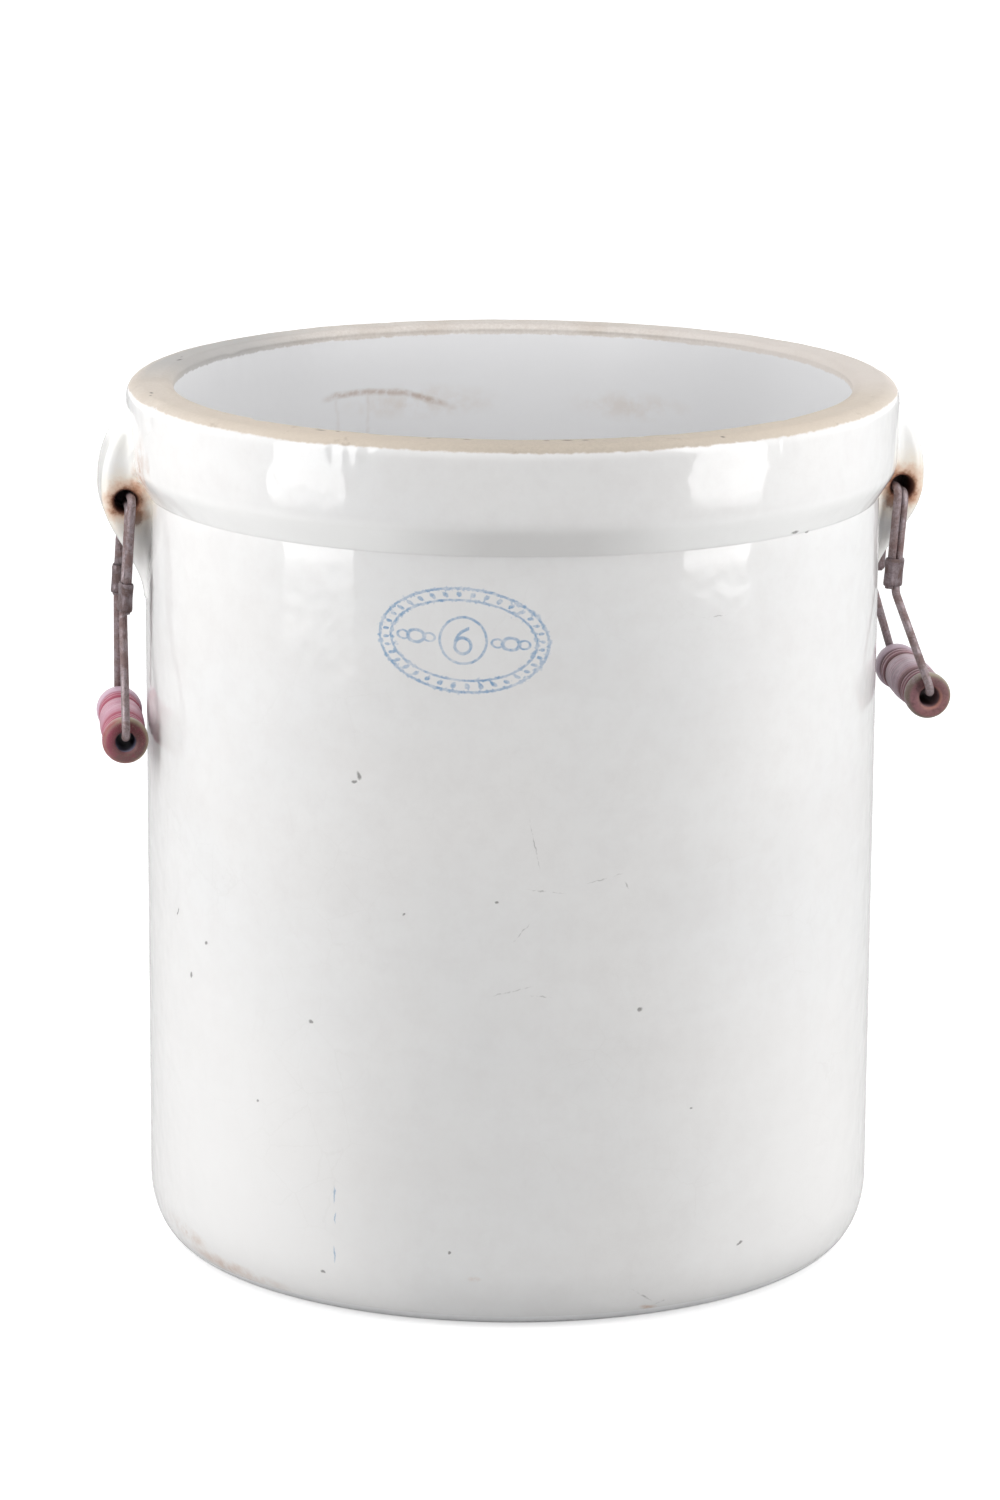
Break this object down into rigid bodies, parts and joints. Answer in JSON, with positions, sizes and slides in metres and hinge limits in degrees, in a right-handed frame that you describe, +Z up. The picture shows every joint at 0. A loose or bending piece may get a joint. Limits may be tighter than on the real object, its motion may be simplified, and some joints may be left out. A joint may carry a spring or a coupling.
{
  "type": "stoneware storage crock with bail handles",
  "caption": "Open cylindrical glazed stoneware crock with a thick collar rim and pierced ears; each carries a swinging wire bail with a turned wooden grip.",
  "frame": {"origin": "centre of the flat base the crock stands on", "axes": "+Z up the crock's axis; the two ears lie on X, the right one at +X; the front of the crock faces -Y"},
  "size_m": [0.3664, 0.33, 0.3755],
  "materials": {
    "vessel_glaze": "glossy off-white glaze, bare buff rim top, blue stamp",
    "ear_glaze": "glossy off-white glaze with rust stains round the hole",
    "bail_wire": "dull steel wire with brown rust",
    "wire_sleeve": "dull crimped sheet steel, rusted",
    "painted_grip": "worn red paint on turned wood"
  },
  "bodies": {
    "crock": {"crock_vessel": "vessel_glaze", "ear_left": "ear_glaze", "ear_right": "ear_glaze"},
    "left_bail": {"bail_wire_left": "bail_wire", "sleeve_left_front": "wire_sleeve", "sleeve_left_rear": "wire_sleeve"},
    "left_grip": {"grip_left": "painted_grip"},
    "right_bail": {"bail_wire_right": "bail_wire", "sleeve_right_front": "wire_sleeve", "sleeve_right_rear": "wire_sleeve"},
    "right_grip": {"grip_right": "painted_grip"}
  },
  "joints": [
    {"name": "left_bail_swing", "type": "hinge", "parent": "crock", "child": "left_bail", "pos_m": [-0.167, 0, 0.328], "axis": [0, 1, 0], "range_deg": [0, 165]},
    {"name": "left_grip_spin", "type": "hinge", "parent": "left_bail", "child": "left_grip", "pos_m": [-0.1681, 0, 0.2278], "axis": [-0.0314, -0.9995, 0], "continuous": true},
    {"name": "right_bail_swing", "type": "hinge", "parent": "crock", "child": "right_bail", "pos_m": [0.167, 0, 0.328], "axis": [0, -1, 0], "range_deg": [0, 165]},
    {"name": "right_grip_spin", "type": "hinge", "parent": "right_bail", "child": "right_grip", "pos_m": [0.1767, 0, 0.2389], "axis": [0.0175, -0.9998, 0], "continuous": true}
  ]
}
